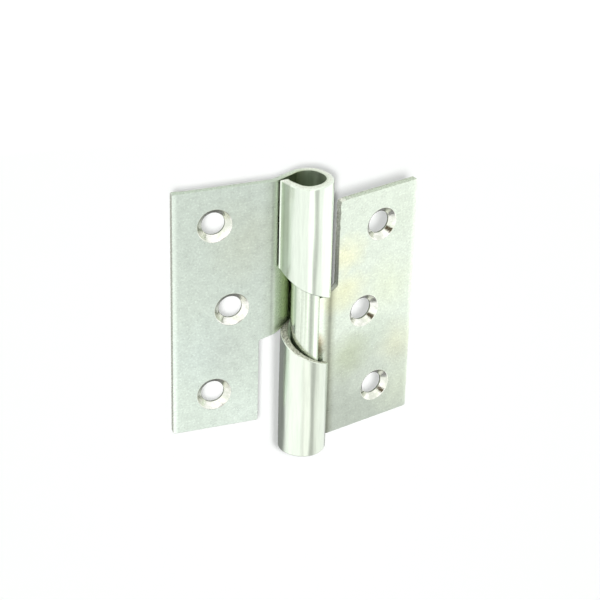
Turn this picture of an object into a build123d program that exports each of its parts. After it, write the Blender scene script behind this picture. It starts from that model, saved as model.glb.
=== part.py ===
from build123d import *
import os
from math import acos, atan2, cos, degrees, pi, radians, sin, tan

# A rising butt hinge of pressed steel, open past flat.
# Z is the pin's axis and z = 0 the frame leaf's lower edge. The frame leaf lies along +X with its
# countersunk face towards -Y. The door leaf opens clockwise, seen from above, and rises as it does.

# Leaves, in millimetres
leaf_height = 75.0
leaf_reach = 38.0  # from the pin's axis to a leaf's outer edge
sheet = 2.1
standoff = 0.8  # how far the pin's axis lies in front of the countersunk faces
neck_slope = 26.0  # degrees between the flat and the neck that runs to the roll
bend_radius = 2.5  # on the back of the bend between flat and neck

# Knuckles, in millimetres and degrees
bore_radius = 4.7
roll_opens_at = -38.0  # where the roll starts to open, anticlockwise from +X
roll_opening = 3.0  # how much larger the roll's radius is from there to its free edge
seam_gap = 0.45  # between the free edge and the neck
edge_radius = 0.6  # that blanking leaves on the back, along the leaf's end at its knuckle

# Cam: the slanted edge on which the door leaf climbs
cam_pitch = 21.0  # rise in one whole turn
cam_low = 25.75  # height of the frame leaf's cam in the plane through the axis, at its low end
cam_gap = 0.1  # kept between the two cams
shut_drop = 0.8  # how far the door leaf's top lies below the frame leaf's when shut
rest_opening = 195.0  # degrees from shut, as the hinge is shown

# Windows: where each leaf is cut away beside the other one's knuckle
frame_window_run = 1.5  # from the end of the bend to the window's upright edge
door_window_run = 3.0
frame_window_slope = 35.0  # degrees of the cut between the other knuckle's reach and the window
door_window_slope = 17.0
window_corner = 1.0  # radius where the slanted cut turns up into the window's edge

# Screw holes
screw_hole_radius = 3.3
countersink_radius = 4.85
countersink_angle = 90.0
outer_hole_reach = 26.1
outer_hole_inset = 11.0  # from the leaf's upper and lower edges
middle_hole_reach = 21.1

# Pin
pin_play = 0.7  # radial clearance of the pin in the upper knuckle
pin_top_inset = 2.0  # the pin's upper end lies this far below the frame leaf's upper edge
pin_inset = 0.4  # the pin's lower end lies this far inside the knuckle
pin_fit = 0.05  # radial clearance of the pin's foot in the lower knuckle
pin_foot_height = 14.0
pin_foot_taper = 2.0
pin_chamfer = 0.8

overcut = 1.0  # how far a cutting tool runs past what it cuts
free_edge_overcut = 4.0  # the same in degrees, at the roll's free edge
lap = 0.01  # how far each straight stretch of the slanted cut starts inside the one before
roll_spans = 3  # the cut round the roll is made in this many stretches

roll_radius = bore_radius + sheet
root_angle = 90.0 - neck_slope  # where the neck meets the roll, anticlockwise from +X
neck_out = Vector(cos(radians(neck_slope)), -sin(radians(neck_slope)))
neck_normal = Vector(sin(radians(neck_slope)), cos(radians(neck_slope)))
bend_centre = Vector(
    (roll_radius + bend_radius - (standoff + sheet + bend_radius) * neck_normal.Y) / neck_normal.X,
    standoff + sheet + bend_radius,
)
opened_centre = Vector(-roll_opening, 0).rotate(Axis.Z, roll_opens_at)
opened_end = root_angle - degrees(  # which way the free edge's face runs, anticlockwise from +X
    acos(
        (bore_radius - seam_gap + roll_opening * cos(radians(root_angle - roll_opens_at)))
        / (roll_radius + roll_opening)
    )
)
frame_window = bend_centre.X + frame_window_run
door_window = bend_centre.X + door_window_run
pin_radius = bore_radius - pin_play
pin_top = leaf_height - pin_top_inset
rest_rise = cam_pitch * rest_opening / 360 - shut_drop
door_cam_low = leaf_height - shut_drop - cam_pitch - cam_low - cam_gap


def sheet_side(depth):
    """One side of the bent sheet, from its outer edge to the roll's free edge, seen from above.

    depth is 0 on the countersunk side, which becomes the bore, and the sheet's thickness on the back.
    """
    radius = bore_radius + depth
    bend = bend_radius + sheet - depth
    bend_arc = CenterArc(bend_centre, bend, -90, -neck_slope)
    flat = Line((leaf_reach, standoff + depth), bend_arc @ 0)
    neck = Line(bend_arc @ 1, neck_normal * radius)
    roll = CenterArc((0, 0), radius, root_angle, 360 + roll_opens_at - root_angle)
    opened = CenterArc(opened_centre, radius + roll_opening, roll_opens_at, opened_end - roll_opens_at)
    return flat, bend_arc, neck, roll, opened


def sheet_section():
    """The leaf's whole section: flat, bend, neck and roll of one even thickness."""
    front = sheet_side(0)
    back = sheet_side(sheet)
    outer_edge = Line(front[0] @ 0, back[0] @ 0)
    free_edge = Line(front[-1] @ 1, back[-1] @ 1)
    return make_face(Curve() + [*front, *back, outer_edge, free_edge])


def upright(point, heading):
    """A tall cutting section that stands on a point of the slanted cut, square to the sheet's run."""
    width = sheet + 2 * overcut
    outward = Vector(0, 0, 1).cross(heading)
    station = Plane(origin=point, x_dir=outward, z_dir=heading)
    return station * Pos(overcut - width / 2, leaf_height / 2) * Rectangle(width, leaf_height)


def cut_along(start, heading, length, slope):
    """Cuts a straight stretch of the sheet, and says where on its back the stretch ends."""
    run = heading + Vector(0, 0, slope)
    cutter = Solid.extrude(upright(start - run * lap, heading).face(), run * (length + lap))
    return cutter, start + run * length


def cam_cutters(low, window, window_slope):
    """All that lies above the slanted cut, from the roll's free edge out to the window's edge.

    Round the roll the cut is the cam, a helix. Up the neck it keeps the slope that the cam has on
    the roll's outside, as far as the other knuckle reaches, and from there to the window it has a
    slope of its own.
    """
    bore_end = opened_centre + Vector(bore_radius + roll_opening, 0).rotate(Axis.Z, opened_end)
    first_angle = degrees(atan2(bore_end.Y, bore_end.X)) + free_edge_overcut
    span = (360 + first_angle - root_angle) / roll_spans
    roll = []
    for angle in [first_angle - span * number for number in range(roll_spans)]:
        height = low - cam_pitch * angle / 360
        start = Vector(roll_radius, 0, height).rotate(Axis.Z, angle)
        heading = Vector(0, -1, 0).rotate(Axis.Z, angle)
        spiral = Helix(cam_pitch, cam_pitch * span / 360, roll_radius, lefthand=True)
        spiral = Pos(0, 0, height) * Rot(0, 0, angle) * spiral
        roll.append(sweep(upright(start, heading), spiral, is_frenet=True))

    cam_slope = cam_pitch / (2 * pi * roll_radius)
    rise = tan(radians(window_slope))
    neck_length = (bend_centre - neck_normal * (bend_radius + roll_radius)).length
    shared_length = (roll_radius**2 - bore_radius**2) ** 0.5
    low_neck, clear = cut_along(spiral @ 1, neck_out, shared_length, cam_slope)
    high_neck, neck_top = cut_along(clear, neck_out, neck_length - shared_length, rise)

    bend_rise = rise * bend_radius * radians(neck_slope)
    turn_up = Helix(360 / neck_slope * bend_rise, bend_rise, bend_radius)
    turn_up = Pos(bend_centre.X, bend_centre.Y, neck_top.Z) * Rot(0, 0, -90 - neck_slope) * turn_up
    bend = sweep(upright(neck_top, neck_out), turn_up, is_frenet=True)

    flat_start = turn_up @ 1
    flat, corner = cut_along(flat_start, Vector(1, 0, 0), window - flat_start.X, rise)
    upright_edge = flat.edges().filter_by(Axis.Y).sort_by_distance(corner)[0]
    return [*roll, low_neck, high_neck, bend, fillet(upright_edge, window_corner)]


def screw_hole(reach, height):
    """A countersunk hole through the flat, as a solid to cut away."""
    depth = (countersink_radius - screw_hole_radius) / tan(radians(countersink_angle / 2))
    along = Plane(origin=(reach, standoff, height), z_dir=(0, 1, 0))
    bore = along * Pos(0, 0, sheet / 2) * Cylinder(screw_hole_radius, sheet + 2 * overcut)
    cone = along * Pos(0, 0, depth / 2) * Cone(countersink_radius, screw_hole_radius, depth)
    return bore + cone


def pressing(low, window, window_slope):
    """A leaf as pressed: knuckle below, window above, three screw holes."""
    leaf = extrude(sheet_section(), leaf_height)
    end_edges = leaf.edges().group_by(Axis.Z)[0]
    back_edges = [end_edges.sort_by_distance(line @ 0.5)[0] for line in sheet_side(sheet)]
    leaf = fillet(back_edges, edge_radius)
    for cutter in cam_cutters(low, window, window_slope):
        leaf -= cutter
    leaf -= screw_hole(middle_hole_reach, leaf_height / 2)
    for height in (outer_hole_inset, leaf_height - outer_hole_inset):
        leaf -= screw_hole(outer_hole_reach, height)
    return leaf


def frame_leaf():
    return pressing(cam_low, frame_window, frame_window_slope)


def door_leaf():
    """The same pressing turned end for end, opened and raised on the cam."""
    leaf = pressing(door_cam_low, door_window, door_window_slope)
    turned = Pos(0, 0, leaf_height) * Rot(0, 180, 0) * leaf
    return Pos(0, 0, rest_rise) * Rot(0, 0, 180 - rest_opening) * turned


def pin():
    """A plain round pin with a thicker foot that the lower knuckle grips."""
    foot = bore_radius - pin_fit
    foot_top = pin_inset + pin_foot_height
    outline = Polyline(
        (0, pin_inset),
        (foot - pin_chamfer, pin_inset),
        (foot, pin_inset + pin_chamfer),
        (foot, foot_top),
        (pin_radius, foot_top + pin_foot_taper),
        (pin_radius, pin_top - pin_chamfer),
        (pin_radius - pin_chamfer, pin_top),
        (0, pin_top),
        close=True,
    )
    return revolve(Plane.XZ * make_face(outline), Axis.Z)


os.makedirs("parts", exist_ok=True)
for part in (frame_leaf, door_leaf, pin):
    export_step(part(), f"parts/{part.__name__}.step")
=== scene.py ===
from math import acos, atan2, cos, degrees, pi, radians, sin, tan
from types import SimpleNamespace

import bmesh
import bpy
from mathutils import Matrix, Vector, noise


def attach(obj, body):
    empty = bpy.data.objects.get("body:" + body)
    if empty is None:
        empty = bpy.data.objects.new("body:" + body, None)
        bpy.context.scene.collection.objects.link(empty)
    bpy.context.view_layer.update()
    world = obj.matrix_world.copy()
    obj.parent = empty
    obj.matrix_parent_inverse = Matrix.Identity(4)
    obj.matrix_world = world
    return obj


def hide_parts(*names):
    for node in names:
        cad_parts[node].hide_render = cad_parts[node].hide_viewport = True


# A rising butt hinge of zinc plated steel, open past flat: the photo's camera and light, and its metal.
# Both leaves are made again as meshes with the rounded edges and the faults of real press work. Each
# starts as a flat blank, where a place is (along, height, depth) in millimetres: the way along the sheet
# from its outer edge, the height above its lower end, and the depth below its countersunk side. Then it
# is bent and rolled as the CAD's leaf is.

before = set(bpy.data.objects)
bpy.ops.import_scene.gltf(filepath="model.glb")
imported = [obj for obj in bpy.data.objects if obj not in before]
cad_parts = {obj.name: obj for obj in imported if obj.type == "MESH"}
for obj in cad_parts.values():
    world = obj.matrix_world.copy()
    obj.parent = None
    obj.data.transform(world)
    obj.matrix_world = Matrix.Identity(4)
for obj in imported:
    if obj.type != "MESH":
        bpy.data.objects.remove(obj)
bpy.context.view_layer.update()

# The camera: angles in radians, its place in the frame's millimetres, the picture in pixels
CAMERA_AZIMUTH = -0.6171562
CAMERA_ELEVATION = 0.5208266
CAMERA_ROLL = 0.0267702
CAMERA_DISTANCE = 608.375
CAMERA_RIGHT = -0.370833
CAMERA_UP = 41.517346
FOCAL_PIXELS = 2113.33
PICTURE = 600
SENSOR = 36.0
CLIP_NEAR, CLIP_FAR = 0.01, 20  # metres

# The leaves, in the CAD's millimetres and degrees
LEAF_HEIGHT = 75.0
LEAF_REACH = 38.0
SHEET = 2.1
STANDOFF = 0.8
NECK_SLOPE = 26.0
BEND_RADIUS = 2.5
BORE_RADIUS = 4.7
ROLL_OPENS_AT = -38.0
ROLL_OPENING = 3.0
SEAM_GAP = 0.45
CAM_PITCH = 21.0
CAM_LOW = 25.75
CAM_GAP = 0.1
SHUT_DROP = 0.8
REST_OPENING = 195.0
FRAME_WINDOW_RUN, FRAME_WINDOW_SLOPE = 1.5, 35.0
DOOR_WINDOW_RUN, DOOR_WINDOW_SLOPE = 3.0, 17.0
WINDOW_CORNER = 1.0
HOLES = ((26.1, 11.0), (21.1, 37.5), (26.1, 64.0))  # distance from the pin's axis, height
HOLE_RADIUS = 3.3
COUNTERSINK_RADIUS = 4.85

ROLL_RADIUS = BORE_RADIUS + SHEET
MID_ROLL = BORE_RADIUS + SHEET / 2
MID_BEND = BEND_RADIUS + SHEET / 2
ROOT = 90 - NECK_SLOPE
SLOPE = radians(NECK_SLOPE)
BEND_CENTRE = (
    (ROLL_RADIUS + BEND_RADIUS - (STANDOFF + SHEET + BEND_RADIUS) * cos(SLOPE)) / sin(SLOPE),
    STANDOFF + SHEET + BEND_RADIUS,
)
NECK = BEND_CENTRE[0] * cos(SLOPE) - BEND_CENTRE[1] * sin(SLOPE)
OPENED_END = ROOT - degrees(acos(
    (BORE_RADIUS - SEAM_GAP + ROLL_OPENING * cos(radians(ROOT - ROLL_OPENS_AT)))
    / (ROLL_RADIUS + ROLL_OPENING)
))
OPENED_POLAR = 10.5  # where the middle of the free edge's face lies
CONE_DEPTH = COUNTERSINK_RADIUS - HOLE_RADIUS
REST_RISE = CAM_PITCH * REST_OPENING / 360 - SHUT_DROP
DOOR_CAM_LOW = LEAF_HEIGHT - SHUT_DROP - CAM_PITCH - CAM_LOW - CAM_GAP

# Where each stretch of the sheet starts, along its middle from the leaf's outer edge
BEND_START = LEAF_REACH - BEND_CENTRE[0]
NECK_START = BEND_START + MID_BEND * SLOPE
ROLL_START = NECK_START + NECK
OPENED_START = ROLL_START + MID_ROLL * radians(360 + ROLL_OPENS_AT - ROOT)
SHEET_END = OPENED_START + (MID_ROLL + ROLL_OPENING) * radians(OPENED_END - ROLL_OPENS_AT)

# How real press work differs from the CAD, in millimetres
OUTER_CORNER, FREE_CORNER, CAM_CORNER = 0.5, 0.3, 0.4  # radii of the blank's corners
FRONT_ROUNDING = 0.14  # of the blank's edge on the countersunk side
BACK_ROUNDING, BACK_DRAW = 0.3, (0.15, 0.8)  # on the back, and how much wider and deeper where sunk
ROLLOVER, ROLLOVER_WIDTH = 0.13, 1.4  # of the outer edge, towards the back
BURR, BURR_WIDTH = 0.3, 0.7  # that the free edge has on its outside
BURR_FACE, BURR_LEAN = 0.3, 1.1  # how deep the burr reaches down the edge, and how far it tilts the normal
EDGE_ROUGHNESS, EDGE_FINENESS = 0.03, 1.3
NICK_SPREAD = 2.5  # a nick's reach, as a multiple of its depth
# Size, length, lean and start of each
RIPPLES = ((0.04, 11.0, 0.06, 0.4), (0.02, 6.1, -0.11, 2.0), (0.012, 3.7, 0.23, 4.0))
FLAT_SPOT = ((0.12, 9.0, 0.0, 4.2),)  # the door leaf's roll is less round
RIPPLES_FADE_IN = 1, 7  # past the roll's start
CAM_FOLLOWED = 8, 20  # heights between which the free edge comes to follow the cam

# A screw hole's section: radius, depth, the normal's part away from the hole's middle and into the sheet
HOLE_ROWS = (
    (COUNTERSINK_RADIUS + 0.2, 0, 0, -1), (COUNTERSINK_RADIUS + 0.07, 0.03, -0.38, -0.92),
    (COUNTERSINK_RADIUS - 0.12, 0.13, -0.71, -0.71), (4.1, 0.75, -0.71, -0.71),
    (HOLE_RADIUS + 0.06, 1.49, -0.71, -0.71), (HOLE_RADIUS, 1.6, -1, 0), (HOLE_RADIUS, 1.92, -1, 0),
    (HOLE_RADIUS + 0.04, 2.04, -0.71, 0.71), (HOLE_RADIUS + 0.15, SHEET, 0, 1),
)

# How finely the meshes are cut
EDGE_STEP = 0.8
CORNER_STEPS = 8
FRONT_STEPS, BACK_STEPS = 3, 5
HOLE_SIDES = 96
COLUMNS = (  # start and end of a stretch of the sheet, and the number of face columns in it
    (0, 2.4, 5), (BEND_START, NECK_START, 12), (NECK_START, ROLL_START, 4),
    (ROLL_START, OPENED_START, 86), (OPENED_START, SHEET_END, 14),
)
ROW_HEIGHT, ROWS = 2.5, 20
MERGED = 1e-4


def make_camera():
    """The photo's camera. Returns its matrix."""
    back = Vector((
        sin(CAMERA_AZIMUTH) * cos(CAMERA_ELEVATION),
        -cos(CAMERA_AZIMUTH) * cos(CAMERA_ELEVATION),
        sin(CAMERA_ELEVATION),
    ))
    right = Vector((0, 0, 1)).cross(back).normalized()
    up = back.cross(right)
    c, s = cos(CAMERA_ROLL), sin(CAMERA_ROLL)
    x_axis, y_axis = c * right + s * up, c * up - s * right
    place = (x_axis * CAMERA_RIGHT + y_axis * CAMERA_UP + back * CAMERA_DISTANCE) / 1000
    data = bpy.data.cameras.new("camera")
    data.sensor_width = SENSOR
    data.lens = FOCAL_PIXELS * SENSOR / PICTURE
    data.clip_start, data.clip_end = CLIP_NEAR, CLIP_FAR
    camera = bpy.data.objects.new("camera", data)
    bpy.context.scene.collection.objects.link(camera)
    camera.matrix_world = Matrix((
        (x_axis.x, y_axis.x, back.x, place.x),
        (x_axis.y, y_axis.y, back.y, place.y),
        (x_axis.z, y_axis.z, back.z, place.z),
        (0, 0, 0, 1),
    ))
    bpy.context.scene.camera = camera
    return camera.matrix_world.copy()


# The shape of the leaves


def smooth(low, high, value):
    t = min(1, max(0, (value - low) / (high - low)))
    return t * t * (3 - 2 * t)


def bent(along, depth):
    """A point of the bent sheet, the way along it, and the way into it from its countersunk side."""
    if along < BEND_START:
        return Vector((LEAF_REACH - along, STANDOFF + depth)), Vector((-1, 0)), Vector((0, 1))
    centre, radius, angle, inward = Vector(BEND_CENTRE), MID_BEND + SHEET / 2 - depth, -90, -1
    if along < NECK_START:
        angle -= degrees((along - BEND_START) / MID_BEND)
    elif along < ROLL_START:
        angle -= NECK_SLOPE
    else:
        centre, radius, inward = Vector((0, 0)), BORE_RADIUS + depth, 1
        angle = ROOT + degrees((min(along, OPENED_START) - ROLL_START) / MID_ROLL)
    if along > OPENED_START:
        turn = radians(ROLL_OPENS_AT)
        centre = Vector((cos(turn), sin(turn))) * -ROLL_OPENING
        radius += ROLL_OPENING
        angle = ROLL_OPENS_AT + degrees((along - OPENED_START) / (MID_ROLL + ROLL_OPENING))
    spoke = Vector((cos(radians(angle)), sin(radians(angle))))
    heading = Vector((-spoke.y, spoke.x)) * inward
    point = centre + spoke * radius
    if NECK_START <= along < ROLL_START:
        point += heading * (along - NECK_START)
    return point, heading, spoke * inward


def blank(cam_low, window_run, window_slope):
    """The blank's corners (along, height), each with its radius, anticlockwise from the outer edge."""
    free_height = cam_low - CAM_PITCH * OPENED_POLAR / 360
    opened_height = cam_low + CAM_PITCH * -ROLL_OPENS_AT / 360
    root_height = cam_low + CAM_PITCH * (360 - ROOT) / 360
    shared = (ROLL_RADIUS**2 - BORE_RADIUS**2) ** 0.5
    clear_height = root_height + CAM_PITCH / (2 * pi * ROLL_RADIUS) * shared
    rise = tan(radians(window_slope))
    neck_height = clear_height + rise * (NECK - shared)
    bend_height = neck_height + rise * BEND_RADIUS * SLOPE
    return (
        ((0, 0), OUTER_CORNER), ((SHEET_END, 0), FREE_CORNER), ((SHEET_END, free_height), CAM_CORNER),
        ((OPENED_START, opened_height), 0), ((ROLL_START, root_height), 0),
        ((ROLL_START - shared, clear_height), 0),
        ((NECK_START, neck_height), 0), ((BEND_START, bend_height), 0),
        ((BEND_START - window_run, bend_height + rise * window_run), WINDOW_CORNER),
        ((BEND_START - window_run, LEAF_HEIGHT), OUTER_CORNER), ((0, LEAF_HEIGHT), OUTER_CORNER),
    )


def outline(corners):
    """The blank's edge as closely spaced points, with its corners rounded."""
    points = []
    for number, (corner, radius) in enumerate(corners):
        here = Vector(corner)
        back = (Vector(corners[number - 1][0]) - here).normalized()
        onward = (Vector(corners[(number + 1) % len(corners)][0]) - here).normalized()
        if not radius:
            points.append(here)
            continue
        half = back.angle(onward) / 2
        centre = here + (back + onward).normalized() * radius / sin(half)
        first = here + back * radius / tan(half) - centre
        last = here + onward * radius / tan(half) - centre
        for step in range(CORNER_STEPS + 1):
            points.append(centre + first.lerp(last, step / CORNER_STEPS).normalized() * radius)
    edge = []
    for number, point in enumerate(points):
        before = points[number - 1]
        pieces = max(1, round((point - before).length / EDGE_STEP))
        edge += [before.lerp(point, step / pieces) for step in range(pieces)]
    return edge


def rough_outline(corners, nicks):
    """The same edge, a little uneven and with nicks (along, height, size), and the ways out of it."""
    edge = outline(corners)
    outward = []
    for number in range(len(edge)):
        way = (edge[(number + 1) % len(edge)] - edge[number - 1]).normalized()
        outward.append(Vector((way.y, -way.x)))
    rough = []
    for point, way in zip(edge, outward):
        out = EDGE_ROUGHNESS * noise.noise(Vector((point.x * EDGE_FINENESS, point.y * EDGE_FINENESS, 4.0)))
        for along, height, size in nicks:
            away = (point - Vector((along, height))).length
            out -= size * max(0, 1 - away / (NICK_SPREAD * size))
        rough.append(point + way * out)
    return rough, outward


def edge_section(along, height):
    """The section of the blank's edge there: (inset, depth, turn of the normal, sheared) row by row.

    The share that is sheared is least at the leaf's lower end. There the back is also sunk deepest,
    between the two corners.
    """
    above = smooth(0, 1, height)
    cut = 0.35 + 0.3 * above + 0.35 * above * smooth(NECK_START, ROLL_START, along)
    torn = min(1, cut + 0.4)
    sunk = smooth(1, 4, along) * smooth(0, 3, SHEET_END - along) * (1 - smooth(0.5, 1.5, height))
    back, deep = (BACK_ROUNDING + more * sunk for more in BACK_DRAW)
    section = []
    for step in range(FRONT_STEPS + 1):
        turn = pi / 2 * step / FRONT_STEPS
        inset, depth = FRONT_ROUNDING * (1 - sin(turn)), FRONT_ROUNDING * (1 - cos(turn))
        section.append((inset, depth, turn - pi / 2, cut * min(1, step / 2)))
    section.append((0, min(SHEET / 2, SHEET - deep - 0.1), 0, cut))
    for step in range(BACK_STEPS + 1):
        turn = pi / 2 * step / BACK_STEPS
        inset, depth = back * (1 - cos(turn)), SHEET - deep * (1 - sin(turn))
        section.append((inset, depth, atan2(back * sin(turn), deep * cos(turn)), torn * max(0, 1 - step / 3)))
    return section


def edge_rows(corners, nicks):
    """The blank's edge as closed rows of (place, depth, normal, finish), from front to back."""
    edge, outward = rough_outline(corners, nicks)
    return [
        [
            (point - way * inset, depth, (way.x * cos(turn), way.y * cos(turn), sin(turn)), (sheared, 0, 0))
            for point, way, (inset, depth, turn, sheared) in zip(edge, outward, row)
        ]
        for row in zip(*(edge_section(*point) for point in edge))
    ]


def hole_finish_and_shade(depth, away_from_shaded_side):
    """A spot in a screw hole: how far it is sheared, and 1 plus its painted shade (0 outside)."""
    if not 0 < depth < SHEET:
        return 0, 0, 0
    # The wall below the cone is sheared and fully in painted shade; the cone is shaded on one side
    if depth > CONE_DEPTH:
        return 1, 2, 0
    return 0, 1 + max(0, cos(away_from_shaded_side)), 0


def hole_rows(reach, height, shaded_side):
    """A screw hole as closed rows of (place, depth, normal, finish). Its cone has the most painted shade
    towards shaded_side.
    """
    turns = [2 * pi * number / HOLE_SIDES for number in range(HOLE_SIDES)]
    along = LEAF_REACH - reach
    return [
        [
            (
                (along + radius * cos(turn), height + radius * sin(turn)), depth,
                (away * cos(turn), away * sin(turn), deeper), hole_finish_and_shade(depth, turn - shaded_side),
            )
            for turn in turns
        ]
        for radius, depth, away, deeper in HOLE_ROWS
    ]


def closed_rows(bm, layers, rows):
    """Makes the rows' vertices and the faces between them. Returns the edges of the first and last row."""
    made = []
    for row in rows:
        made.append([])
        for (along, height), depth, normal, finish in row:
            vert = bm.verts.new((along, height, depth))
            vert[layers.flat_normal] = normal
            vert[layers.finish] = finish
            made[-1].append(vert)
    for low, high in zip(made, made[1:]):
        for number in range(len(low)):
            bm.faces.new((low[number - 1], low[number], high[number], high[number - 1]))
    return [
        [bm.edges.get((row[number - 1], row[number])) for number in range(len(row))]
        for row in (made[0], made[-1])
    ]


def cut_up(bm):
    """Cuts the blank's faces into columns and rows, so that they can follow bend, roll and ripples."""
    columns = {
        round(start + (end - start) * step / steps, 5) for start, end, steps in COLUMNS for step in range(steps)
    }
    planes = [((along, 0, 0), (1, 0, 0)) for along in sorted(columns - {0.0})]
    planes += [((0, ROW_HEIGHT * row, 0), (0, 1, 0)) for row in range(1, ROWS)]
    for place, facing in planes:
        geometry = [*bm.verts, *bm.edges, *bm.faces]
        bmesh.ops.bisect_plane(bm, geom=geometry, plane_co=place, plane_no=facing, dist=MERGED)


def ripple(along, height, ripples):
    """How far the sheet stands out of true there, and its slopes along and up."""
    rolled = smooth(*RIPPLES_FADE_IN, along - ROLL_START)
    depth = slope = climb = 0
    for size, length, lean, start in ripples:
        turn = 2 * pi * along / length + lean * height + start
        depth += size * sin(turn)
        slope += size * 2 * pi / length * cos(turn)
        climb += size * lean * cos(turn)
    return depth * rolled, slope * rolled, climb * rolled


def press(vert, layers, ripples, place):
    """Moves a vertex from the blank to its place in the pressed leaf. Returns its normal there."""
    along, height, depth = vert.co
    vert[layers.blank] = vert.co
    sheared, hole, _ = vert[layers.finish]
    vert[layers.finish] = (sheared, hole, smooth(BEND_START, ROLL_START, along))

    side = depth / SHEET
    wave, slope, climb = ripple(along, height, ripples)
    edge_fall = max(0, 1 - along / ROLLOVER_WIDTH)
    slope -= 2 * ROLLOVER / ROLLOVER_WIDTH * edge_fall * (1 - side)
    normal = vert[layers.flat_normal].copy()
    normal -= Vector((slope, climb, 0)) * normal.z
    burr = smooth(SHEET_END - BURR_WIDTH, SHEET_END, along) * side
    if burr > 0.02 and depth > SHEET - BURR_FACE:
        normal.x = -BURR_LEAN * smooth(0, 0.3, burr)
        normal.z = 1.0
    depth += wave + ROLLOVER * edge_fall**2 * (1 - side) + BURR * burr

    point, heading, inward = bent(along, depth)
    if along > OPENED_START:  # the cam keeps its helix where the roll opens
        share = (along - OPENED_START) / (SHEET_END - OPENED_START)
        straight = ROLL_OPENS_AT + (OPENED_POLAR - ROLL_OPENS_AT) * share
        polar = degrees(atan2(point.y, point.x))
        height -= CAM_PITCH * (polar - straight) / 360 * smooth(*CAM_FOLLOWED, height)
    flat = heading * normal.x + inward * normal.z
    vert.co = place @ Vector((point.x, point.y, height)) / 1000
    return (place.to_3x3() @ Vector((flat.x, flat.y, normal.y))).normalized()


def leaf_mesh(name, corners, nicks, ripples, shaded_side, place):
    """A leaf's mesh: the blank with its rounded edges and holes, bent and rolled as the CAD's is."""
    bm = bmesh.new()
    layers = SimpleNamespace(**{
        layer: bm.verts.layers.float_vector.new(layer) for layer in ("flat_normal", "finish", "blank")
    })
    front, back = closed_rows(bm, layers, edge_rows(corners, nicks))
    for reach, height in HOLES:
        hole_front, hole_back = closed_rows(bm, layers, hole_rows(reach, height, shaded_side))
        front += hole_front
        back += hole_back
    for edges in (front, back):
        bmesh.ops.triangle_fill(bm, use_beauty=True, edges=edges)
    cut_up(bm)
    bmesh.ops.recalc_face_normals(bm, faces=bm.faces)
    normals = [press(vert, layers, ripples, place) for vert in bm.verts]
    mesh = bpy.data.meshes.new(name)
    bm.to_mesh(mesh)
    bm.free()
    mesh.attributes.remove(mesh.attributes["flat_normal"])
    mesh.polygons.foreach_set("use_smooth", [True] * len(mesh.polygons))
    mesh.normals_split_custom_set_from_vertices(normals)
    return mesh


# Shader nodes


def node(tree, kind, inputs=None, **settings):
    """A shader node with its settings, and its inputs set to values or linked to sockets."""
    made = tree.nodes.new("ShaderNode" + kind)
    for key, value in settings.items():
        setattr(made, key, value)
    for key, value in (inputs or {}).items():
        if isinstance(value, bpy.types.NodeSocket):
            tree.links.new(value, made.inputs[key])
        else:
            made.inputs[key].default_value = value
    return made


def calc(tree, operation, *values, clamp=False):
    return node(tree, "Math", dict(enumerate(values)), operation=operation, use_clamp=clamp).outputs[0]


def span(tree, value, start, end, low=0.0, high=1.0):
    """Goes evenly from low to high while the value goes from start to end, and stays there beyond."""
    limits = {"From Min": start, "From Max": end, "To Min": low, "To Max": high}
    return node(tree, "MapRange", {"Value": value, **limits}).outputs[0]


def ramp(tree, fac, stops):
    """Colours, or plain brightness, at given places of a scale from 0 to 1."""
    made = node(tree, "ValToRGB", {"Fac": fac})
    points = made.color_ramp.elements
    while len(points) < len(stops):
        points.new(0.5)
    for point, (place, colour) in zip(points, stops):
        point.position = place
        point.color = (*colour, 1) if isinstance(colour, tuple) else (colour, colour, colour, 1)
    return made.outputs["Color"]


def mixed(tree, fac, low, high, blend="MIX"):
    """One colour changed to another, as far as fac says. Each is a socket or three numbers."""
    low, high = ((*colour, 1) if isinstance(colour, tuple) else colour for colour in (low, high))
    return node(tree, "Mix", {0: fac, 6: low, 7: high}, data_type="RGBA", blend_type=blend).outputs[2]


def toned(tree, tint, by, fac=1.0):
    """A colour times another one, as far as fac says."""
    return mixed(tree, fac, tint, by, "MULTIPLY")


def grain(tree, spot, scale, detail, rough):
    settings = {"Vector": spot, "Scale": scale, "Detail": detail, "Roughness": rough}
    return node(tree, "TexNoise", settings).outputs["Fac"]


def stretched(tree, spot, scale):
    return node(tree, "Mapping", {"Vector": spot, "Scale": scale}).outputs[0]


def distance(tree, spot, place):
    return node(tree, "VectorMath", {0: spot, 1: place}, operation="DISTANCE").outputs["Value"]


# The surroundings and the light

# What the metal sees round it: degrees anticlockwise from +X, seen from above, and brightness
SURROUNDINGS = (
    (-180, 1.25), (-135, 1.25), (-121, 1.2), (-117, 1.5), (-93, 1.5), (-84, 0.67),
    (-68, 0.67), (-62, 1.15), (-50, 1.2), (-42, 1.5), (10, 1.5), (26, 0.7), (45, 0.3), (125, 0.3),
    (137, 0.42), (145, 0.9), (152, 1.22), (180, 1.25),
)
LEVEL_LEAST = 0.85  # brightness that the surroundings have at least, except well below the horizon
CEILING = (1.2, 1.2, 1.2)
GROUND = (0.3, 0.3, 0.3)
WALL = (1.45, 1.45, 1.42)  # behind the camera
PERSON = (0.12, 0.085, 0.045)  # who takes the photo
PAPER_SHADE = (0.088, 0.105, 0.090)  # what the floor gets from all round, which fills its shadows
BACKDROP = (1.0, 1.0, 1.0)  # what the camera sees past the floor

# Where each of them starts and is full, by a direction's height
LEVEL_FADE, CEILING_FADE, GROUND_FADE = (-0.36, -0.22), (0.0, 0.35), (-0.72, -0.9)
# And by how close it comes to the camera's direction, where it is 1
WALL_FADE, PERSON_FADE = (0.6, 0.9), (cos(0.3), cos(0.18))

# The lamps: diameter, metres to the right of the camera and above it
SHADOW_RIGHT = 0.007, 0.006, -0.0028
SHADOW_LEFT = 0.0045, -0.0018, -0.0022
SHADOW_POWER = 9.8

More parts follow.
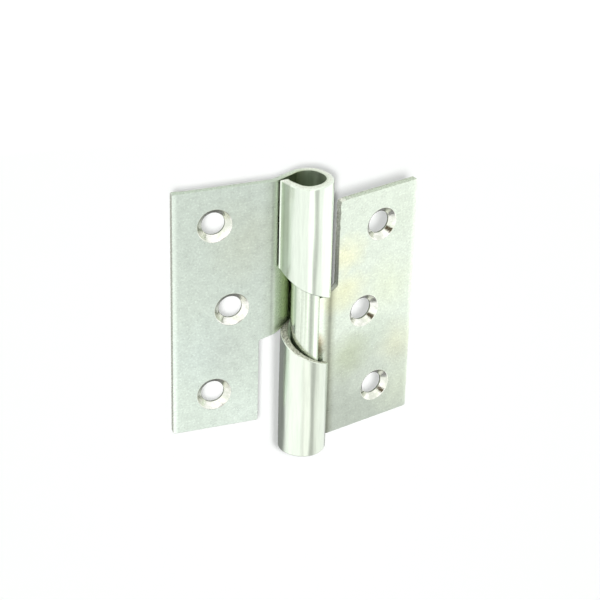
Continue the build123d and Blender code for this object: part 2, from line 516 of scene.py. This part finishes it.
# Metres
FLOOR_DROP, FLOOR_HALF = 0.12, 4
GLOW_START, GLOW_FULL = 0.45, 0.9  # from the floor's middle, where the lamps' light gives way to its own
PAPER_WHITE, PAPER_ROUGHNESS = (0.95, 0.95, 0.95, 1), 0.9


def make_world(camera):
    """The studio that the metal mirrors. It lights the floor far less, and the camera sees it plain white."""
    world = bpy.data.worlds.new("studio")
    bpy.context.scene.world = world
    world.use_nodes = True
    tree = world.node_tree
    look = node(tree, "TexCoord").outputs["Generated"]
    x, y, z = node(tree, "SeparateXYZ", {0: look}).outputs
    turn = span(tree, calc(tree, "ARCTAN2", y, x), -pi, pi)
    level = ramp(tree, turn, [((angle + 180) / 360, bright) for angle, bright in SURROUNDINGS])
    seen = mixed(tree, span(tree, z, *LEVEL_FADE), level, calc(tree, "MAXIMUM", level, LEVEL_LEAST))
    seen = mixed(tree, span(tree, z, *CEILING_FADE), seen, CEILING)
    seen = mixed(tree, span(tree, z, *GROUND_FADE), seen, GROUND)
    towards = {0: look, 1: tuple(camera.col[2].xyz)}
    facing = node(tree, "VectorMath", towards, operation="DOT_PRODUCT").outputs["Value"]
    seen = mixed(tree, span(tree, facing, *WALL_FADE), seen, WALL)
    seen = mixed(tree, span(tree, facing, *PERSON_FADE), seen, PERSON)
    path = node(tree, "LightPath").outputs
    seen = mixed(tree, path["Is Diffuse Ray"], seen, PAPER_SHADE)
    seen = mixed(tree, path["Is Camera Ray"], seen, BACKDROP)
    tree.links.new(seen, tree.nodes["Background"].inputs["Color"])


def shadow_lamp(camera, name, size, right, up, pieces):
    """A disk lamp beside the camera that lights the floor evenly, with soft shadows of these pieces only."""
    data = bpy.data.lights.new(name, "AREA")
    data.shape = "DISK"
    data.size = size
    data.energy = 1.0
    data.use_nodes = True
    tree = data.node_tree
    length = node(tree, "LightPath").outputs["Ray Length"]
    even = node(tree, "LightFalloff", {"Strength": SHADOW_POWER}).outputs["Constant"]
    tree.links.new(calc(tree, "MULTIPLY", even, length), tree.nodes["Emission"].inputs["Strength"])
    light = bpy.data.objects.new(name, data)
    bpy.context.scene.collection.objects.link(light)
    light.matrix_world = camera @ Matrix.Translation((right, up, 0))
    light.visible_glossy = False
    shadows = bpy.data.collections.new(name)
    for piece in pieces:
        shadows.objects.link(piece)
    light.light_linking.blocker_collection = shadows


def make_floor():
    """White paper below the hinge. Its far part glows, to be as white as the near part is lit."""
    corners = [(x * FLOOR_HALF, y * FLOOR_HALF, 0) for x, y in ((-1, -1), (1, -1), (1, 1), (-1, 1))]
    mesh = bpy.data.meshes.new("floor")
    mesh.from_pydata(corners, [], [(0, 1, 2, 3)])
    floor = bpy.data.objects.new("floor", mesh)
    floor.location = (0, 0, -FLOOR_DROP)
    bpy.context.scene.collection.objects.link(floor)
    paper = bpy.data.materials.new("paper")
    paper.use_nodes = True
    tree = paper.node_tree
    shader = tree.nodes["Principled BSDF"].inputs
    shader["Base Color"].default_value = PAPER_WHITE
    shader["Roughness"].default_value = PAPER_ROUGHNESS
    shader["Emission Color"].default_value = (1, 1, 1, 1)
    spot = node(tree, "TexCoord").outputs["Object"]
    away = node(tree, "VectorMath", {0: spot}, operation="LENGTH").outputs["Value"]
    tree.links.new(span(tree, away, GLOW_START, GLOW_FULL), shader["Emission Strength"])
    mesh.materials.append(paper)
    return floor


# The zinc. All lengths are millimetres on the blank.

# Where the sides start and are full: by depth, and along the sheet for the bore and the roll's outside
FRONT, BORE, OUTSIDE = (0.7, 0.2), (1.0, 0.3), (1.5, 2.0)
BORE_ALONG, OUTSIDE_ALONG = (ROLL_START - 0.5, ROLL_START + 1.5), (43.0, 45.0)
GRAINS = {  # scale, detail and roughness of a noise
    "broad": (0.06, 3, 0.6), "middle": (0.35, 3, 0.6), "fine": (1.6, 3, 0.75), "sharp": (5.0, 2, 0.8),
    "worn": (2.2, 3, 0.8),
}
DRAW_MARK, DRAW_LENGTH = (1.3, 3, 0.6), (1, 0.07, 1)
ROLL_TINT = (0.825, 0.905, 0.785)
PATCH_EDGE, PATCH_CORE, PATCH_WANDER = 1.9, 0.9, 1.6  # as multiples of a patch's reach
CLOUDS = ((0.32, 0.90), (0.5, 0.96), (0.68, 1.01))
SPECKLE = ((0.33, 0.76), (0.44, 0.88), (0.56, 0.90), (0.66, 1.08))
DRAW_MARKS = ((0.35, 0.90), (0.6, 0.97))
BANDS_FROM, BANDS_TO = 24.0, 69.0
# For the painted shade by height: how far it wanders with the broad noise, and how far the height is dropped
SHADE_WANDER, SHADE_DROP = 24.0, 12.0
CUT_FACE = ((0.38, (0.32, 0.33, 0.26)), (0.5, (0.64, 0.65, 0.57)), (0.61, (0.93, 0.94, 0.85)))
WINDOW_EDGE_SHADE = ((BEND_START - 1, 50, 1), 3.0, 26.0, 0.35)  # painted shade on the cut faces near the window: its middle, its core's and its own reach, its tone
PAINTED_END_SHADE, END_WIDTH, END_REACH = (0.76, 0.82, 0.76), 0.15, 4.0  # painted shade on the thin rim of a leaf's two ends, fading out past the roll's start
TURNED = ((0.38, (0.66, 0.69, 0.60)), (0.58, (0.86, 0.86, 0.81)))  # the countersinks
# Painted shade on the countersinks' side away from the light and in the holes' walls
HOLE_SHADE_TONE = (0.27, 0.30, 0.25)
# Painted shade inside the roll's bore
PAINTED_BORE_SHADE = (0.84, 0.86, 0.81)
ROUGHNESS, CLOUD_ROUGHNESS = 0.30, 0.15
ROUGHER = {"rolled": -0.09, "sheared": 0.4, "drilled": -0.13, "bore": 0.2}
FINE_RELIEF, SHARP_RELIEF, ROLL_RELIEF = 0.011, 0.005, 0.15  # the last is the roll's share of the others
RELIEFS = (("rolled", "drawn", 0.003), ("sheared", "sharp", 0.05), ("drilled", "middle", 0.1))

WHITE = (1.0, 1.0, 1.0)  # leaves a colour as it is
# Painted reflection: the roll's darker tone between its bright stripes
ROLL_REFLECTION_SHADE = (0.92, 0.92, 0.93)
# Painted shade in the bend
BEND_SHADE = (0.66, 0.65, 0.60)

# The pin's drawn steel
DRAWN_DARK, DRAWN_LIGHT = (0.57, 0.64, 0.53), (0.77, 0.84, 0.73)
PIN_STREAKS, PIN_SPECKS = (1400, 1400, 25), 1800.0  # how many there are in a metre
PIN_ROUGHNESS, PIN_STREAK_ROUGHNESS, PIN_RELIEF = 0.12, 0.15, 0.004


def metal(name):
    """A new metal material: itself, its node tree and its shader's inputs."""
    material = bpy.data.materials.new(name)
    material.use_nodes = True
    shader = material.node_tree.nodes["Principled BSDF"].inputs
    shader["Metallic"].default_value = 1
    return material, material.node_tree, shader


def surface(tree, shader, tint, roughness, relief):
    """Gives the shader its colour, its roughness and its relief, which is in millimetres."""
    tree.links.new(tint, shader["Base Color"])
    tree.links.new(roughness, shader["Roughness"])
    bump = node(tree, "Bump", {"Height": relief, "Strength": 1.0, "Distance": 0.001})
    tree.links.new(bump.outputs[0], shader["Normal"])


def leaf_places(tree):
    """What a leaf's mesh says of a spot: its place on the blank, and how far it belongs to each area."""
    spot = node(tree, "Attribute", attribute_name="blank").outputs["Vector"]
    finish = node(tree, "Attribute", attribute_name="finish").outputs["Vector"]
    sheared, hole, rolled = node(tree, "SeparateXYZ", {0: finish}).outputs
    along, height, depth = node(tree, "SeparateXYZ", {0: spot}).outputs
    return SimpleNamespace(
        spot=spot, along=along, height=height, sheared=sheared, rolled=rolled,
        drilled=calc(tree, "ADD", hole, 0.0, clamp=True),
        # how deep the painted shade in a screw hole is
        shaded_side=calc(tree, "SUBTRACT", hole, 1.0, clamp=True),
        front=span(tree, depth, *FRONT),
        bore=calc(tree, "MULTIPLY", span(tree, depth, *BORE), span(tree, along, *BORE_ALONG)),
        outside=calc(tree, "MULTIPLY", span(tree, depth, *OUTSIDE), span(tree, along, *OUTSIDE_ALONG)),
    )


def leaf_grains(tree, spot):
    """The noises that the zinc is made of, and its draw marks."""
    drawn = grain(tree, stretched(tree, spot, DRAW_LENGTH), *DRAW_MARK)
    return SimpleNamespace(
        drawn=drawn, **{name: grain(tree, spot, *settings) for name, settings in GRAINS.items()})


def plate_tint(tree, at, grains, flat_tint, stains_and_painted_light, shade, shade_and_reflection_bands):
    """The colour of the plated sides: stain patches and painted light, speckle or draw marks, band tones
    of painted shade and reflection, and painted shade by height, over a plain tint.

    Each patch has its middle and reach (along, height, reach), its strength and its colour. Some are the
    plating's own yellowing, others lighter and darker patches of painted light and shade. A band is a
    place along the sheet and the tone there: painted shade in the bend and beside the roll, painted
    reflection stripes on the roll. The shade goes from a height to another, and from a tone to
    another, so that the leaf is lighter or darker by height.
    """
    tint = mixed(tree, at.rolled, flat_tint, ROLL_TINT)
    # Stain patches and patches of painted light and shade, on the countersunk side
    for (along, height, reach), strength, colour in stains_and_painted_light:
        away = distance(tree, at.spot, (along, height, 0))
        away = calc(tree, "MULTIPLY_ADD", grains.broad, reach * PATCH_WANDER, away)
        near = span(tree, away, reach * PATCH_EDGE, reach * PATCH_CORE, 0.0, strength)
        tint = mixed(tree, calc(tree, "MULTIPLY", near, at.front), tint, colour)
    clouded = toned(tree, tint, ramp(tree, grains.middle, CLOUDS))
    speckled = toned(tree, clouded, ramp(tree, grains.fine, SPECKLE))
    tint = mixed(tree, at.rolled, speckled, toned(tree, tint, ramp(tree, grains.drawn, DRAW_MARKS)))

    # Band tones on the countersunk side and the roll's outside: painted shade in the bend and beside the roll,
    # painted reflection stripes on the roll
    banded = calc(tree, "ADD", at.front, at.outside)
    shade_and_reflection_bands = [((along - BANDS_FROM) / (BANDS_TO - BANDS_FROM), tone) for along, tone in shade_and_reflection_bands]
    tint = toned(tree, tint, ramp(tree, span(tree, at.along, BANDS_FROM, BANDS_TO), shade_and_reflection_bands), banded)
    # Painted shade by height, lighter or darker, except on the roll
    height = calc(tree, "SUBTRACT", at.height, SHADE_DROP)
    fall = span(tree, calc(tree, "MULTIPLY_ADD", grains.broad, SHADE_WANDER, height), *shade)
    return toned(tree, tint, mixed(tree, at.rolled, fall, WHITE))


def sheet_zinc(name, **look):
    """Bright zinc on sheet steel: satin on the flat, glossier on the roll, rough where it is sheared."""
    material, tree, shader = metal(name)
    at = leaf_places(tree)
    grains = leaf_grains(tree, at.spot)
    tint = plate_tint(tree, at, grains, **look)

    place, core, reach, tone = WINDOW_EDGE_SHADE
    window_edge_shade = span(tree, distance(tree, at.spot, place), core, reach, tone, 1.0)
    # Cut faces of torn metal, with painted shade near the window
    tint = mixed(tree, at.sheared, tint, toned(tree, ramp(tree, grains.worn, CUT_FACE), window_edge_shade))
    # Painted shade on the thin rim at the leaf's top and bottom, short of the roll
    end = calc(tree, "ABSOLUTE", calc(tree, "SUBTRACT", at.height, LEAF_HEIGHT / 2))
    end = span(tree, end, LEAF_HEIGHT / 2 - END_WIDTH, LEAF_HEIGHT / 2)
    straight = span(tree, at.along, ROLL_START + END_REACH, ROLL_START)
    tint = toned(tree, tint, PAINTED_END_SHADE, calc(tree, "MULTIPLY", end, straight))
    tint = mixed(tree, at.drilled, tint, ramp(tree, grains.middle, TURNED))
    # Painted shade in the screw holes
    tint = toned(tree, tint, HOLE_SHADE_TONE, at.shaded_side)
    # Painted shade inside the bore
    tint = toned(tree, tint, PAINTED_BORE_SHADE, at.bore)

    cloud = calc(tree, "SUBTRACT", grains.middle, 0.5)
    roughness = calc(tree, "MULTIPLY_ADD", cloud, CLOUD_ROUGHNESS, ROUGHNESS)
    for area, more in ROUGHER.items():
        roughness = calc(tree, "MULTIPLY_ADD", getattr(at, area), more, roughness)

    relief = calc(tree, "MULTIPLY", grains.sharp, SHARP_RELIEF)
    relief = calc(tree, "MULTIPLY_ADD", grains.fine, FINE_RELIEF, relief)
    relief = calc(tree, "MULTIPLY", relief, span(tree, at.rolled, 0.0, 1.0, 1.0, ROLL_RELIEF))
    for area, marks, height in RELIEFS:
        marked = calc(tree, "MULTIPLY", getattr(at, area), getattr(grains, marks))
        relief = calc(tree, "MULTIPLY_ADD", marked, height, relief)
    surface(tree, shader, tint, roughness, relief)
    return material


def pin_zinc(name):
    """Drawn steel with fine streaks along it."""
    material, tree, shader = metal(name)
    spot = node(tree, "TexCoord").outputs["Object"]
    streaks = grain(tree, stretched(tree, spot, PIN_STREAKS), 1.0, 2.0, 0.5)
    specks = grain(tree, spot, PIN_SPECKS, 2.0, 0.5)
    tint = mixed(tree, ramp(tree, streaks, ((0.35, 0.0), (0.65, 1.0))), DRAWN_DARK, DRAWN_LIGHT)
    tint = toned(tree, tint, ramp(tree, specks, ((0.35, 0.93), (0.65, 1.0))))
    roughness = calc(tree, "MULTIPLY_ADD", streaks, PIN_STREAK_ROUGHNESS, PIN_ROUGHNESS)
    surface(tree, shader, tint, roughness, calc(tree, "MULTIPLY", streaks, PIN_RELIEF))
    return material


FRAME_LOOK = {
    "flat_tint": (0.77, 0.852, 0.738),
    # Some are the plating's yellowing, others lighter and darker patches of painted light and shade
    "stains_and_painted_light": (
        ((24, 57, 7.5), 0.9, (0.92, 0.93, 0.64)), ((24, 46, 8), 0.9, (0.90, 0.92, 0.63)),
        ((8, 44, 9), 0.7, (0.79, 0.87, 0.67)), ((24, 44, 6), 0.5, (0.75, 0.80, 0.60)),
        ((4, 64, 8), 0.5, (0.70, 0.78, 0.66)), ((4, 23, 8), 0.7, (0.84, 0.87, 0.64)),
        ((13, 29, 7), 0.6, (0.66, 0.75, 0.63)), ((22.5, 24, 8), 0.8, (0.64, 0.72, 0.53)),
        # The last two, dark brown on the neck beside the pin's foot, are painted shade
        ((3, 9, 10), 0.9, (0.96, 1.06, 0.87)), ((32.2, 31.6, 3.0), 0.9, (0.62, 0.46, 0.27)),
        ((31.8, 28.4, 2.9), 0.95, (0.30, 0.18, 0.07)),
    ),
    # Painted shade: darker towards the leaf's lower end, a little lighter above
    "shade": (8.0, 34.0, 0.70, 1.08),
    # Painted shade in the bend, painted reflection stripes on the roll
    "shade_and_reflection_bands": (
        (BANDS_FROM, WHITE), (BEND_START - 1.5, WHITE), (BEND_START + 0.5, BEND_SHADE),
        (NECK_START - 0.2, BEND_SHADE), (NECK_START + 0.8, WHITE), (34, WHITE), (38, ROLL_REFLECTION_SHADE),
        (49.5, ROLL_REFLECTION_SHADE), (50.5, WHITE), (52.8, WHITE), (53.6, (0.83, 0.81, 0.81)),
        (56.5, (0.84, 0.83, 0.82)), (57.5, (0.75, 0.74, 0.74)), (60.5, (0.68, 0.68, 0.68)), (BANDS_TO, ROLL_REFLECTION_SHADE),
    ),
}
DOOR_LOOK = {
    "flat_tint": (0.72, 0.81, 0.72),
    # Patches of tint and of painted light and shade, the last one lighter at the leaf's lower end
    "stains_and_painted_light": (
        ((20, 16, 12), 0.7, (0.72, 0.79, 0.66)), ((7, 50, 12), 0.6, (0.70, 0.80, 0.74)),
        ((16, 51, 9), 0.6, (0.64, 0.71, 0.64)), ((20, 71, 9), 0.8, (0.82, 0.92, 0.83)),
    ),
    # Painted light: lighter towards the door leaf's lower end
    "shade": (15.0, 70.0, 0.97, 1.18),
    # Painted shade in the bend and darker beside the roll, painted reflection stripes on the roll
    "shade_and_reflection_bands": (
        (BANDS_FROM, WHITE), (BEND_START - 2.5, WHITE), (BEND_START, (0.86, 0.87, 0.83)),
        (NECK_START + 2, (0.78, 0.79, 0.68)), (ROLL_START, (0.68, 0.69, 0.52)), (ROLL_START + 4, ROLL_REFLECTION_SHADE),
        (55.4, ROLL_REFLECTION_SHADE), (56.2, WHITE), (57.6, WHITE), (58.4, ROLL_REFLECTION_SHADE), (63.5, ROLL_REFLECTION_SHADE),
        (64.1, (0.66, 0.66, 0.65)), (65.8, (0.72, 0.72, 0.71)), (66.6, WHITE), (BANDS_TO, WHITE),
    ),
}
FRAME_WINDOW = BEND_START - FRAME_WINDOW_RUN
FRAME_NICKS = (  # along, height, size
    (FRAME_WINDOW, 71.5, 0.35), (FRAME_WINDOW, 70.0, 0.3), (FRAME_WINDOW, 66.5, 0.2),
    (FRAME_WINDOW, 74.6, 0.4), (BEND_START - 2.6, LEAF_HEIGHT, 0.3), (BEND_START - 5.0, LEAF_HEIGHT, 0.15),
)

camera = make_camera()
make_world(camera)
bpy.context.scene.view_settings.view_transform = "Standard"
floor = make_floor()
floor.visible_glossy = False

turned = Matrix.Translation((0, 0, LEAF_HEIGHT)) @ Matrix.Rotation(pi, 4, "Y")
opened = Matrix.Translation((0, 0, REST_RISE)) @ Matrix.Rotation(radians(180 - REST_OPENING), 4, "Z")
# Node, body, blank, nicks, ripples, the countersinks' side of painted shade, place, look
LEAVES = (
    (
        "frame_leaf", "frame", blank(CAM_LOW, FRAME_WINDOW_RUN, FRAME_WINDOW_SLOPE), FRAME_NICKS,
        RIPPLES, pi / 4, Matrix.Identity(4), FRAME_LOOK,
    ),
    (
        "door_leaf", "door", blank(DOOR_CAM_LOW, DOOR_WINDOW_RUN, DOOR_WINDOW_SLOPE), (),
        RIPPLES + FLAT_SPOT, 5 * pi / 4, opened @ turned, DOOR_LOOK,
    ),
)
pieces = []
for name, body, corners, nicks, ripples, shaded_side, place, look in LEAVES:
    mesh = leaf_mesh(name + "_pressed", corners, nicks, ripples, shaded_side, place)
    mesh.materials.append(sheet_zinc(name + "_zinc", **look))
    piece = bpy.data.objects.new(name + "_pressed", mesh)
    bpy.context.scene.collection.objects.link(piece)
    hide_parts(name)
    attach(piece, body)
    pieces.append(piece)

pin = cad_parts["pin"]
pin.data.materials.clear()
pin.data.materials.append(pin_zinc("pin_zinc_drawn"))
shadow_lamp(camera, "shadow_right", *SHADOW_RIGHT, (pieces[0], pin))
shadow_lamp(camera, "shadow_left", *SHADOW_LEFT, pieces[1:])

bpy.context.view_layer.update()
